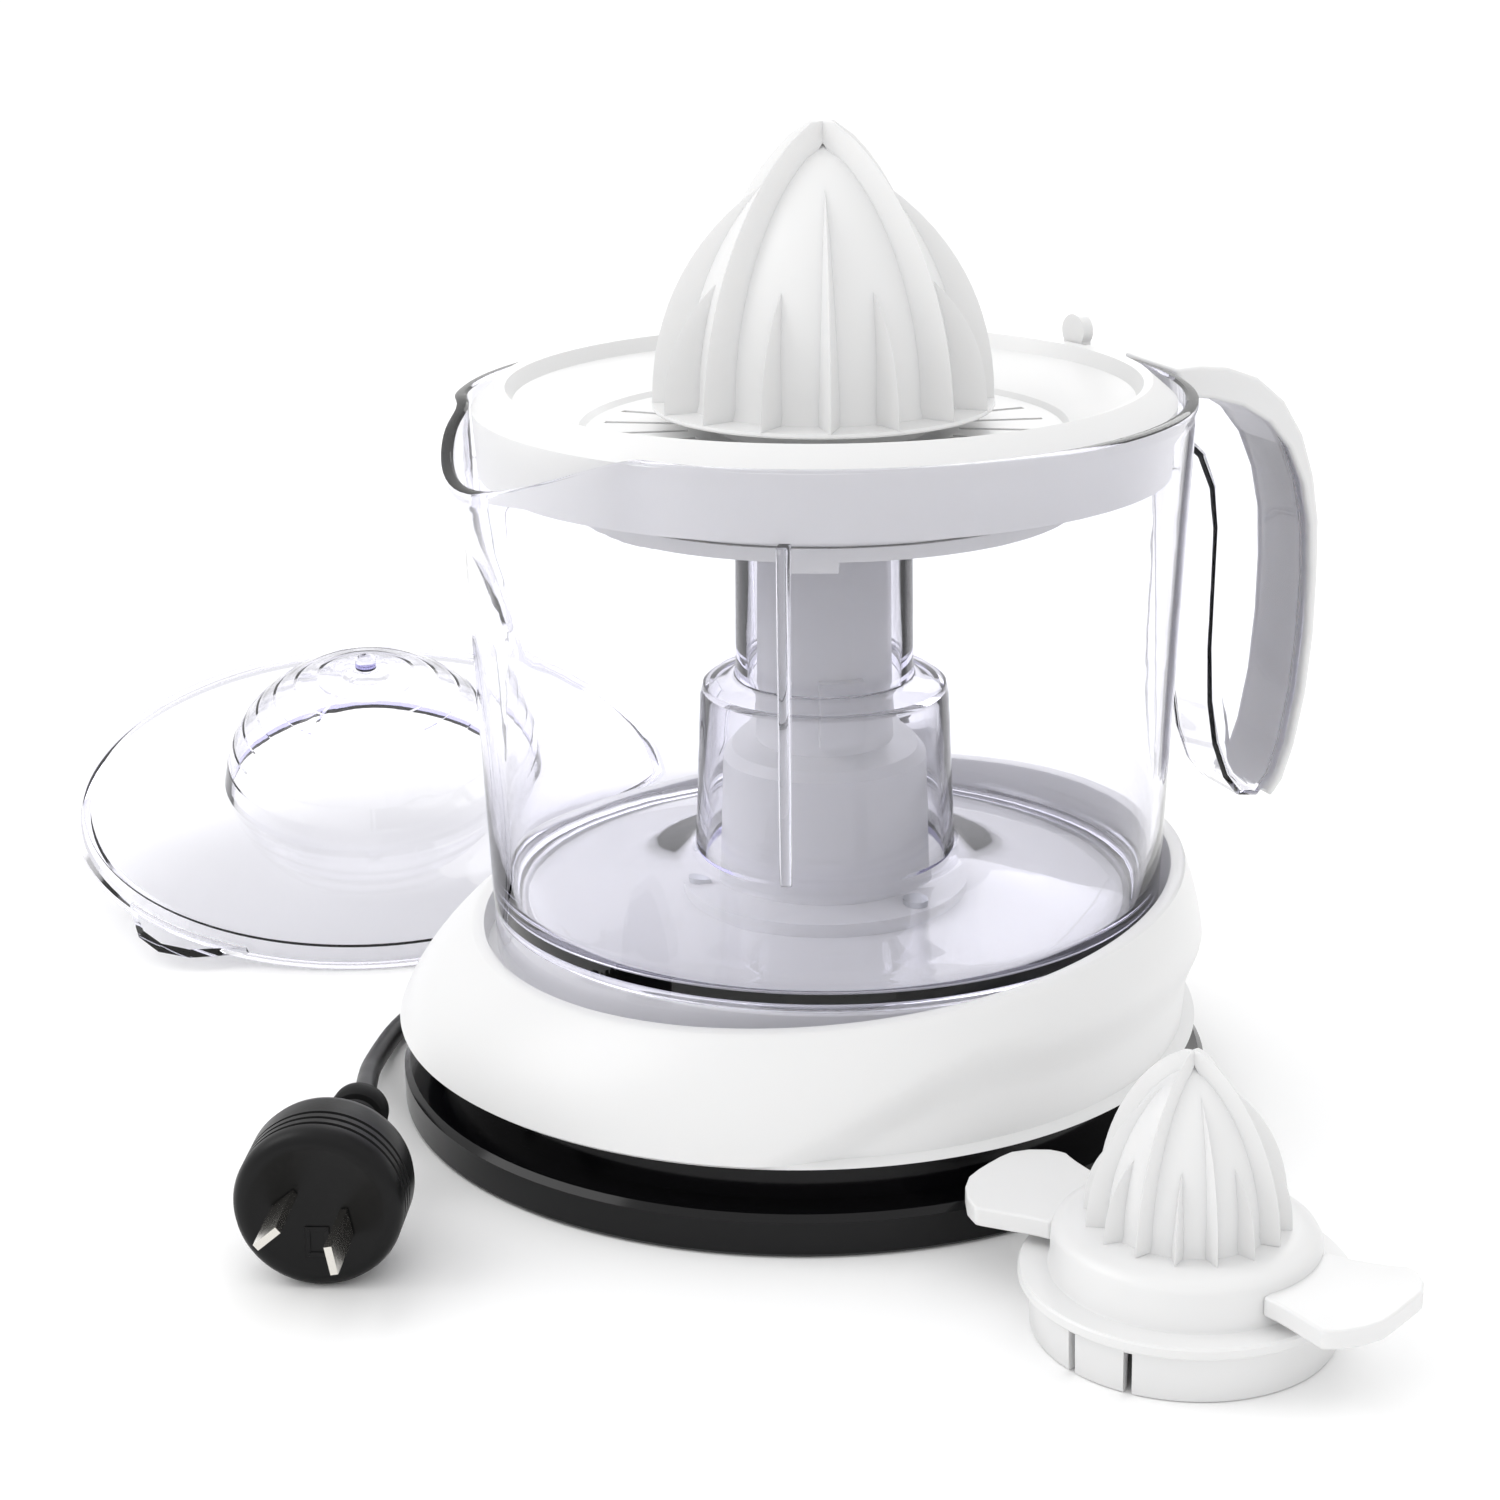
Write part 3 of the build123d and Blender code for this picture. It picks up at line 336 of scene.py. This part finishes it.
def joined(first, *others):
    """Joins finished pieces of one moulding into the first."""
    bpy.ops.object.select_all(action="DESELECT")
    for other in others:
        other.select_set(True)
    first.select_set(True)
    bpy.context.view_layer.objects.active = first
    bpy.ops.object.join()
    return first


def finish_piece(piece, finish, body, slot, *stands_for):
    """Gives a piece its material, its body and the CAD nodes that it stands for."""
    piece.data.materials.clear()
    piece.data.materials.append(finish)
    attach(piece, body)
    if stands_for:
        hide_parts(*stands_for)
    box = [piece.matrix_world @ Vector(corner) for corner in piece.bound_box]
    low = [round(min(c[i] for c in box) / MM, 1) for i in range(3)]
    high = [round(max(c[i] for c in box) / MM, 1) for i in range(3)]
    print(piece.name, "faces", len(piece.data.polygons), "from", low, "to", high)


# %% [markdown]
# ## Jug
# The jug is one clear moulding. It is turned as a double wall first. Then the rings near the rim are pulled
# out and down into a pouring lip, inside and outside alike, which keeps the wall one thickness, as a real
# moulding has. The floor and the hollow column belong to the same shell.

# %% Jug wall, floor and column
WALL = 2.4
FOOT_R, RIM_R, FOOT_Z, RIM_Z = 79.0, 84.6, 36.35, 168.0
SPOUT_TURN = math.radians(10)


def wall_radius(z):
    return FOOT_R + (RIM_R - FOOT_R) * (z - 36) / (RIM_Z - 36)


heights = [50, 70, 90, 110, 118, 124, 128, 132, 136, 140, 144, 148, 152, 156, 160, 163, 165.5]
outside = [(wall_radius(FOOT_Z) - 0.5, FOOT_Z), (wall_radius(37), 37.2)]
outside += [(wall_radius(z), z) for z in heights]
rim = [(RIM_R + 0.3, 166.6), (RIM_R + 0.2, 167.5), (RIM_R - 0.5, RIM_Z), (RIM_R - WALL + 0.4, RIM_Z),
       (RIM_R - WALL - 0.2, 167.5)]
inside = [(wall_radius(z) - WALL, z) for z in reversed(heights[1:])]
floor_rings = [(77.0, 56.0), (76.6, 53.2), (75.2, 51.4), (72.0, 51.0), (62.0, 52.6), (48.0, 54.9),
               (36.0, 57.0), (32.4, 57.9), (30.9, 59.6)]
column = [(29.3, 97.0), (28.6, 99.6), (26.6, 101.0), (23.0, 101.2), (21.4, 101.8), (20.9, 103.4),
          (20.5, 150.3), (19.8, 151.6), (18.9, 152.0), (8.6, 152.0), (8.6, 150.0), (18.3, 150.0),
          (18.8, 99.8), (24.9, 99.2), (27.0, 97.4), (28.7, 57.0), (30.4, 55.4)]
underside = [(48.0, 52.4), (72.0, 48.7), (75.2, 48.4), (76.6, 47.4), (wall_radius(FOOT_Z) - WALL, 36.9)]
jug = turned("jug_shell", outside + rim + inside + floor_rings + column + underside, 180)

# %% Pouring lip
# A modeller drags these rings by hand. Here each vertex moves by a smooth rule of its own angle and height.


def smooth(t):
    t = min(max(t, 0), 1)
    return t * t * (3 - 2 * t)


for vertex in jug.data.vertices:
    x, y, z = vertex.co / MM
    radius = math.hypot(x, y)
    if radius < 70 or z < 118:
        continue
    away = math.degrees(abs(math.remainder(math.atan2(x, -y) - SPOUT_TURN, 2 * math.pi)))
    up = smooth((z - 124) / 40)
    half = 4 + 26 * up ** 0.8
    bulge = (1 - smooth(away / half)) * (1.2 + 6.6 * up) * smooth((z - 122) / 10)
    pinch = -1.6 * up * math.exp(-((away - 27) / 5) ** 2)
    dip = 11.0 * (1 - smooth(away / 30)) ** 0.8 * smooth((z - 128) / 38)
    scale = (radius + bulge + pinch) / radius
    vertex.co = Vector((x * scale, y * scale, z - dip)) * MM
jug.data.update()

# %% [markdown]
# Four thin ribs inside the wall carry the strainer. They are wedges, widest at the top, and are joined to
# the shell as parts of the same moulding.

# %% Strainer ribs
ribs = []
for number in range(4):
    rib = block_piece("jug_rib", (77.6, -1.3, 77), (79.4, 1.3, 151.6))
    edit(rib)
    bpy.ops.mesh.select_all(action="DESELECT")
    bpy.ops.object.mode_set(mode="OBJECT")
    for vertex in rib.data.vertices:
        top = vertex.co.z > 100 * MM
        inner = vertex.co.x < 78.5 * MM
        vertex.co.x = ((75.3 if inner else 81.6) if top else (78.2 if inner else 79.2)) * MM
    edit(rib)
    bpy.ops.mesh.bevel(offset=0.5 * MM, segments=2, affect="EDGES")
    bpy.ops.object.mode_set(mode="OBJECT")
    tidy(rib, 60)
    place(rib, Matrix.Rotation(math.radians(61 - 90 + number * 90), 4, "Z"))
    ribs.append(rib)
joined(jug, *ribs)
finish_piece(jug, clear_san, "jug", "clear_san", "jug", "jug_column")

# %% [markdown]
# ## Handle
# The handle is a hollow ear of the same clear plastic, seen from the side as a long rounded loop, with a
# white cover clipped over its top and down its back. The ear's side view is a flat outline that is given its
# width by an extrude and its soft edge by a bevel, and Solidify hollows it.

# %% Clear ear
EAR_HALF, EAR_BEVEL, EAR_WALL = 12.0, 3.2, 2.0
ear_line = [(83.6, 166.0), (90, 166.5), (97, 165.5), (105, 162.5), (112, 157), (117.5, 149), (121.5, 139),
            (124, 128), (124.8, 115), (124.4, 100), (123, 85), (120.5, 72), (117.5, 63), (113, 58.2),
            (108, 59), (104, 64), (100.5, 73), (98.6, 84), (97.8, 98), (98, 114), (98.2, 128), (97, 138),
            (93.5, 146), (88, 151), (83.4, 152.5)]


def flat_solid(name, line, half, bevel):
    """A solid with this outline in the Y-Z plane and this half width, with rounded edges."""
    bpy.ops.object.select_all(action="DESELECT")
    bpy.ops.mesh.primitive_circle_add(vertices=len(line), radius=MM, fill_type="NGON")
    piece = start_piece(name)
    for vertex, (y, z) in zip(piece.data.vertices, line):
        vertex.co = Vector((-half, y, z)) * MM
    edit(piece)
    bpy.ops.mesh.extrude_region_move(TRANSFORM_OT_translate={"value": (2 * half * MM, 0, 0)})
    bpy.ops.mesh.select_all(action="SELECT")
    bpy.ops.mesh.normals_make_consistent(inside=False)
    bpy.ops.object.mode_set(mode="OBJECT")
    soft = piece.modifiers.new("soft_edges", "BEVEL")
    soft.width = bevel * MM
    soft.segments = 4
    soft.limit_method = "ANGLE"
    soft.angle_limit = math.radians(60)
    return piece


ear = flat_solid("jug_ear", ear_line, EAR_HALF, EAR_BEVEL)
hollow = ear.modifiers.new("wall", "SOLIDIFY")
hollow.thickness = EAR_WALL * MM
hollow.offset = -1
tidy(ear, 50)
finish_piece(ear, clear_san, "jug", "clear_san", "jug_handle")

# %% [markdown]
# The cover is a thin white strip, a little wider than the ear. Its outline follows the ear's back, just
# outside it, and stays well off its front, so the clear loop shows between the cover and the fingers.

# %% White cover
COVER_HALF, COVER_BEVEL = 13.0, 1.0
cover_line = [(84.5, 168.6), (91, 168.9), (98.5, 168.0), (107, 164.8), (114.5, 158.6), (120, 150),
              (123.6, 139.5), (125.6, 128), (126.0, 115), (125.8, 99.5), (124.4, 84.5), (121.8, 71.4),
              (118.8, 62.6), (115.6, 58.4), (114.6, 60.2), (117.2, 64.6), (119.9, 72.2), (122.3, 85),
              (123.5, 100), (123.6, 115), (122.9, 127.4), (120.6, 137.8), (116.4, 146.8), (110.6, 153.6),
              (103, 158.2), (95, 160.6), (90, 161.2), (86.4, 162.4)]
cover = flat_solid("handle_cover_strip", cover_line, COVER_HALF, COVER_BEVEL)
tidy(cover, 50)
finish_piece(cover, white_abs, "jug", "white_abs", "handle_cover")

# %% [markdown]
# ## Base housing
# The white body is a skirt that flares from the rim round the jug down to the black foot. It leans,
# because the rim is cut on a slope, so each ring of the lathe is moved and tilted to its own plane. One side
# carries a shallow scoop with a soft edge: the rings under a rising curve are pressed in a little.

# %% Housing shell
SHELL = [(21.0, 96.3, -7.0, 0.0), (37.0, 92.6, -3.0, 0.05), (49.5, 85.6, 0.0, 0.1)]
SHELL_MIDDLE = 0.55
SCOOP_DEPTH, SCOOP_EDGE = 4.4, 13.0
MARK_R, MARK_LOW, MARK_STEP = 96.0, 20.5, 0.05


def shell_at(t, pick):
    """The shell's height, radius, centre or slope at a share of the way up, through its three sections."""
    a, b, c = [section[pick] for section in SHELL]
    m = SHELL_MIDDLE
    return a * (t - m) * (t - 1) / m + b * t * (t - 1) / (m * (m - 1)) + c * t * (t - m) / (1 - m)


def scoop(angle, z):
    """How far the scoop presses the shell in, in millimetres, at an angle from +X and a height."""
    edge = 12 + 31.5 * smooth((angle + 48) / 52) - 9 * smooth((angle - 40) / 60)
    side = smooth((angle + 44) / 10) * (1 - smooth((angle - 62) / 46))
    return SCOOP_DEPTH * smooth((edge - z) / SCOOP_EDGE) * side


LEVELS = 26
rings = [(90.5, 20.0), (95.0, 20.0)] + [(MARK_R, MARK_LOW + MARK_STEP * n) for n in range(LEVELS)]
rings += [(85.0, 49.8), (83.6, 50.2), (82.2, 49.8), (81.8, 49.0), (81.6, 35.6), (73.5, 35.6), (73.5, 45.6),
          (72.6, 46.5), (34.0, 46.5), (34.0, 43.5), (70.5, 43.5), (70.5, 33.0), (84.0, 33.0), (90.5, 22.0)]
housing = turned("housing_shell", rings, 240)
for vertex in housing.data.vertices:
    x, y, z = vertex.co / MM
    radius, angle = math.hypot(x, y), math.atan2(y, x)
    ring = round((z - MARK_LOW) / MARK_STEP)
    if abs(radius - MARK_R) < 0.01 and 0 <= ring < LEVELS:
        t = ring / (LEVELS - 1)
        level, r, centre, slope = (shell_at(t, pick) for pick in range(4))
        height = level + slope * r * math.sin(angle)
        r -= scoop(math.degrees(angle), height)
        vertex.co = Vector((r * math.cos(angle), centre + r * math.sin(angle), height)) * MM
    elif z < 23 and radius > 88:
        vertex.co = Vector((x, y - 7.0, z)) * MM
    elif 81 < radius < 86 and z > 48:
        vertex.co = Vector((x, y, z + 0.1 * y)) * MM
housing.data.update()
tidy(housing, 34)
finish_piece(housing, white_abs, "base", "white_abs", "base_housing")

# %% [markdown]
# ## Plug
# A two-pin plug is moulded on to its lead. Its body is a round puck with soft edges and three fine grip
# rings, and its face carries a plain raised outline beside the pins. The neck bends with the lead, so it is
# cut into rings, and it ends in a round collar. Both are turned upright and then laid along the plug's axis.

# %% Plug
plug_out = Vector((62.5, -141.9, 18.0)) * MM
plug_axis = Vector((-0.906, 0.423, 0)).normalized()
plug_place = Matrix.Translation(plug_out) @ plug_axis.to_track_quat("Z", "Y").to_matrix().to_4x4()
plug_rings = [(0.05, 0.3), (13.6, 0.3), (14.0, 0.0), (15.2, 0.0), (16.4, 0.3), (17.4, 1.2), (18.0, 2.8),
              (18.0, 4.4)]
for groove in range(3):
    z = 4.6 + groove * 2.6
    plug_rings += [(17.4, z), (17.4, z + 0.7), (18.0, z + 0.9), (18.0, z + 2.4)]
plug_rings += [(18.0, 16.5), (17.5, 18.6), (16.2, 20.8), (14.0, 22.8), (11.4, 24.6), (9.0, 25.8), (7.4, 27.0),
               (0.05, 27.0)]
plug = turned("plug_puck", plug_rings, 96)
outline = block_piece("plug_outline", (-2.6, -10.5, -0.12), (2.6, -3.5, 0.6), 0.2)
edit(outline)
bpy.ops.mesh.select_all(action="DESELECT")
bpy.ops.object.mode_set(mode="OBJECT")
for face in outline.data.polygons:
    face.select = face.normal.z < -0.9
bpy.ops.object.mode_set(mode="EDIT")
bpy.ops.mesh.inset(thickness=0.9 * MM, depth=-0.35 * MM)
bpy.ops.object.mode_set(mode="OBJECT")
tidy(outline, 40)
joined(plug, outline)
place(plug, plug_place)
finish_piece(plug, black_pvc, "base", "cord_pvc", "plug_body")

neck_rings = [(0.05, 26.0), (6.6, 26.0), (6.4, 28.4), (4.4, 29.2)]
for number in range(4):
    z, r = 30.2 + number * 4.0, 5.8 - 0.15 * number
    neck_rings += [(4.4, z), (r - 0.5, z + 0.1), (r, z + 0.6), (r, z + 1.8), (r - 0.5, z + 2.3),
                   (4.3, z + 2.4)]
neck_rings += [(4.3, 45.6), (5.8, 45.8), (6.4, 46.6), (6.6, 48.6), (6.4, 50.6), (5.6, 51.6), (3.6, 52.0),
               (3.2, 53.6), (0.05, 54.0)]
neck = turned("plug_neck", neck_rings, 64)
place(neck, plug_place)
finish_piece(neck, black_rubber, "base", "rubber", "plug_relief")

# %% [markdown]
# ## Reaming cones
# A reaming cone is a smooth pointed body with sharp fins in three lengths: four long ones that meet at the
# tip, four middle ones, and eight short ones. A fin starts as a triangle that is extruded ring by ring, and
# each ring is then set to its crest, its root and its width. One fin of each length is made and copied round.

# %% Cone body and fins


def ogive(radius, height, share):
    """Radius of a blunt pointed arch at a share of its height."""
    return radius * max(1 - share ** 2, 0) ** 0.68


def fin(name, rings):
    """A three-sided rib along +X; each ring is (height, root radius, crest radius, half width)."""
    bpy.ops.object.select_all(action="DESELECT")
    bpy.ops.mesh.primitive_circle_add(vertices=3, radius=MM, fill_type="NGON")
    piece = start_piece(name)
    edit(piece)
    for _ in rings[1:]:
        bpy.ops.mesh.extrude_region_move(TRANSFORM_OT_translate={"value": (0, 0, MM)})
    bpy.ops.object.mode_set(mode="OBJECT")
    for vertex in piece.data.vertices:
        z, root, crest, half = rings[round(vertex.co.z / MM)]
        side = vertex.co.x / MM
        vertex.co = Vector((crest, 0, z) if abs(side) < 0.1 else (root, math.copysign(half, side), z)) * MM
    edit(piece)
    bpy.ops.mesh.normals_make_consistent(inside=False)
    bpy.ops.object.mode_set(mode="OBJECT")
    soft = piece.modifiers.new("soft_crest", "BEVEL")
    soft.width = 0.35 * MM
    soft.segments = 2
    soft.limit_method = "ANGLE"
    soft.angle_limit = math.radians(70)
    tidy(piece, 30)
    return piece


def fin_rings(radius, height, low, body, reach, half, steps=16):
    """Rings of a fin that lies on the outer arch and sinks into the body at its top."""
    rings = []
    for step in range(steps + 1):
        share = reach * step / steps
        outer = ogive(radius, height, share)
        inner = ogive(body[0], body[1], min(share * height / body[1], 1))
        fade = 1.0 if reach > 0.95 else 1 - (step / steps) ** 3.2
        crest = max(inner - 0.5 + (outer - inner + 0.5) * fade, 0.15)
        root = max(inner - 1.0, 0.0) if reach < 0.95 or inner > 1.2 else 0.0
        width = half * (1 - 0.72 * step / steps) * (fade ** 0.5 if reach < 0.95 else 1) + 0.12
        rings.append((low + share * height, min(root, crest - 0.1), crest, width))
    return rings


def cone_pieces(name, radius, height, low, body, halves, first):
    """The fins of one cone, already copied round and turned."""
    made = []
    lengths = ((4, 45.0, 0.985, halves[0]), (4, 0.0, 0.82, halves[1]), (8, 22.5, 0.47, halves[2]))
    for count, start, reach, half in lengths:
        pattern = fin(name, fin_rings(radius, height, low, body, reach, half))
        for number in range(count):
            copy = pattern.copy()
            copy.data = pattern.data.copy()
            scene.collection.objects.link(copy)
            place(copy, Matrix.Rotation(math.radians(first + start + number * 360 / count), 4, "Z"))
            made.append(copy)
        bpy.data.objects.remove(pattern)
    return made


def arch(radius, height, low, steps=22):
    return [(max(ogive(radius, height, n / steps), 0.05), low + height * n / steps) for n in range(steps + 1)]


# %% Large cone
BODY = (31.6, 57.5)
skin = arch(BODY[0], BODY[1], 166.2)
lining = [(max(r - 2.2, 0.05), z - 1.6) for r, z in reversed(skin[:-2])]
cone = turned("cone_body", [(39.0, 165.0), (39.2, 165.4), (39.0, 166.0), (32.2, 166.3)] + skin[1:] + lining
              + [(31.0, 165.0)], 128)
hub = turned("cone_hub", [(5.4, 166), (5.4, 200), (7.6, 200), (7.6, 166)], 32)
joined(cone, hub, *cone_pieces("cone_fin", 39.2, 64.6, 165.2, BODY, (2.9, 2.7, 2.3), -20.7))
finish_piece(cone, white_abs, "cone", "white_abs", "reamer_cone")

# %% [markdown]
# The small cone for lemons fits over the large one. It stands beside the base on its slotted skirt, and two
# wings stick out of its drum to hold it by. Its skirt's slots are cut with a Boolean, which is then applied.

# %% Small cone
small_place = Matrix.Translation((145.2 * MM, 17.2 * MM, 0)) @ Matrix.Rotation(math.radians(28), 4, "Z")
lemon_skin = arch(17.0, 33.5, 23.4)
lemon_lining = [(max(r - 1.8, 0.05), z - 1.3) for r, z in reversed(lemon_skin[:-3])]
small = turned("small_cone_body", [
    (29.2, 0.3), (29.5, 0.0), (30.9, 0.0), (31.2, 0.4), (31.5, 10.0), (33.4, 10.4), (33.8, 10.9),
    (33.8, 12.5), (33.4, 13.0), (27.9, 13.0), (27.5, 13.5), (27.2, 20.6), (26.4, 22.0), (24.6, 23.0),
    (22.0, 23.5), (17.4, 23.6)] + lemon_skin[1:] + lemon_lining
    + [(15.2, 21.4), (24.2, 20.4), (25.0, 19.4), (25.2, 9.4), (28.8, 9.2)], 128)
for angle in (-102, -78, 102, 78):
    slot = block_piece("slot_cutter", (26.5, -0.9, -1), (33.4, 0.9, 9.0))
    place(slot, Matrix.Rotation(math.radians(angle), 4, "Z"))
    cut = small.modifiers.new("slot", "BOOLEAN")
    cut.object = slot
    bpy.context.view_layer.objects.active = small
    bpy.ops.object.modifier_apply(modifier=cut.name)
    bpy.data.objects.remove(slot)
wings = []
for side in (0, 180):
    wing = block_piece("small_cone_wing", (25.0, -12, 15.4), (49.0, 12, 19.6))
    edit(wing)
    bpy.ops.mesh.subdivide(number_cuts=7)
    bpy.ops.object.mode_set(mode="OBJECT")
    for vertex in wing.data.vertices:
        x, y, z = vertex.co / MM
        out = (x - 25) / 24
        spread = 1 + 0.38 * smooth(out * 1.25)
        corner = 4.6 * max(abs(y) / 12 - 0.35, 0) ** 2 / 0.4225 * smooth((out - 0.5) / 0.5)
        narrow = 1 - 0.10 * smooth((out - 0.8) / 0.2)
        lift = 1.6 * out ** 2 - (y / 12) ** 2 * out
        vertex.co = Vector((x - corner * 1.15, y * spread * narrow, z + lift)) * MM
    tidy(wing, 40)
    edge = wing.modifiers.new("edge", "BEVEL")
    edge.width = 1.2 * MM
    edge.segments = 3
    edge.limit_method = "ANGLE"
    edge.angle_limit = math.radians(45)
    tidy(wing, 50)
    place(wing, Matrix.Rotation(math.radians(side), 4, "Z"))
    wings.append(wing)
stem = turned("small_cone_stem", [(5.2, 8), (5.2, 40), (7.6, 40), (7.6, 8)], 48)
joined(small, stem, *wings, *cone_pieces("lemon_fin", 21.0, 37.6, 23.4, (17.0, 33.5), (1.7, 1.6, 1.4), -41.7))
place(small, small_place)
finish_piece(small, white_abs, "small_cone", "white_abs", "small_cone")

# %% [markdown]
# ## Return spring
# The spring under the spindle's collar gets shorter when the cone is pressed. It is one wire along a helix,
# turned into a mesh of its own and hung on the output body.

# %% Return spring
SPRING_LOW, SPRING_HIGH, SPRING_R, WIRE_D = 43.9, 57.7, 6.6, 1.0
SPRING_COILS, PER_COIL = 5, 24
rise = (SPRING_HIGH - SPRING_LOW - WIRE_D) / (SPRING_COILS * PER_COIL)
spring = nurbs("return_spring_wire", [
    (SPRING_R * math.cos(math.tau * n / PER_COIL), SPRING_R * math.sin(math.tau * n / PER_COIL),
     SPRING_LOW + WIRE_D / 2 + rise * n) for n in range(SPRING_COILS * PER_COIL + 1)], WIRE_D / 2)
bpy.ops.object.select_all(action="DESELECT")
bpy.context.view_layer.objects.active = spring
spring.select_set(True)
bpy.ops.object.convert(target="MESH")
finish_piece(spring, zinc, "output", "steel", "return_spring")
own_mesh(spring)

# %% [markdown]
# ## Studio
# A white sweep and very soft light from all round, as for a catalogue picture. Clear plastic only shows by
# what it bends, so the sky is a little darker near the horizon than overhead, and that draws the edges.

# %% Floor, sky and lamps
bpy.ops.object.select_all(action="DESELECT")
bpy.ops.mesh.primitive_plane_add(size=60, location=(0, 0, -0.0002))
floor = bpy.context.object
floor.name = "studio_floor"
floor_paper, tree, shader = material("studio_white_paper", Base_Color=linear("#FDFDFD"), Roughness=0.9)
floor.data.materials.append(floor_paper)

world = bpy.data.worlds.new("studio")
world.use_nodes = True
scene.world = world
tree = world.node_tree
tree.nodes.clear()
where = add(tree, "ShaderNodeTexCoord")
split = add(tree, "ShaderNodeSeparateXYZ", {"Vector": where.outputs["Generated"]})
ramp = add(tree, "ShaderNodeMapRange", {"Value": split.outputs["Z"]}, From_Min=-0.05, From_Max=0.75,
           To_Min=0.78, To_Max=1.16)
sky = add(tree, "ShaderNodeBackground", {"Strength": ramp.outputs[0]}, Color=linear("#FFFFFF"))
add(tree, "ShaderNodeOutputWorld", {"Surface": sky.outputs[0]})


def lamp(name, spot, target, size, watts):
    """A square soft box that points at a target; all in millimetres."""
    light = bpy.data.lights.new(name, "AREA")
    light.size = size * MM
    light.energy = watts
    made = bpy.data.objects.new(name, light)
    made.location = Vector(spot) * MM
    aim = (Vector(target) - Vector(spot)).normalized()
    made.rotation_euler = aim.to_track_quat("-Z", "Y").to_euler()
    scene.collection.objects.link(made)


lamp("key_soft_box", (-300, -900, 900), (0, 0, 80), 700, 3.5)
lamp("rim_soft_box", (-700, 500, 700), (0, 0, 80), 600, 2)
scene.view_settings.view_transform = "Standard"

# %% Let light into the clear pieces
# Light that is bent through clear plastic takes very many samples to find. The jug and its handle cast no
# shadow here, so the soft boxes light what stands inside them, as they do in a bright studio.
for clear in (jug, ear):
    clear.visible_shadow = False
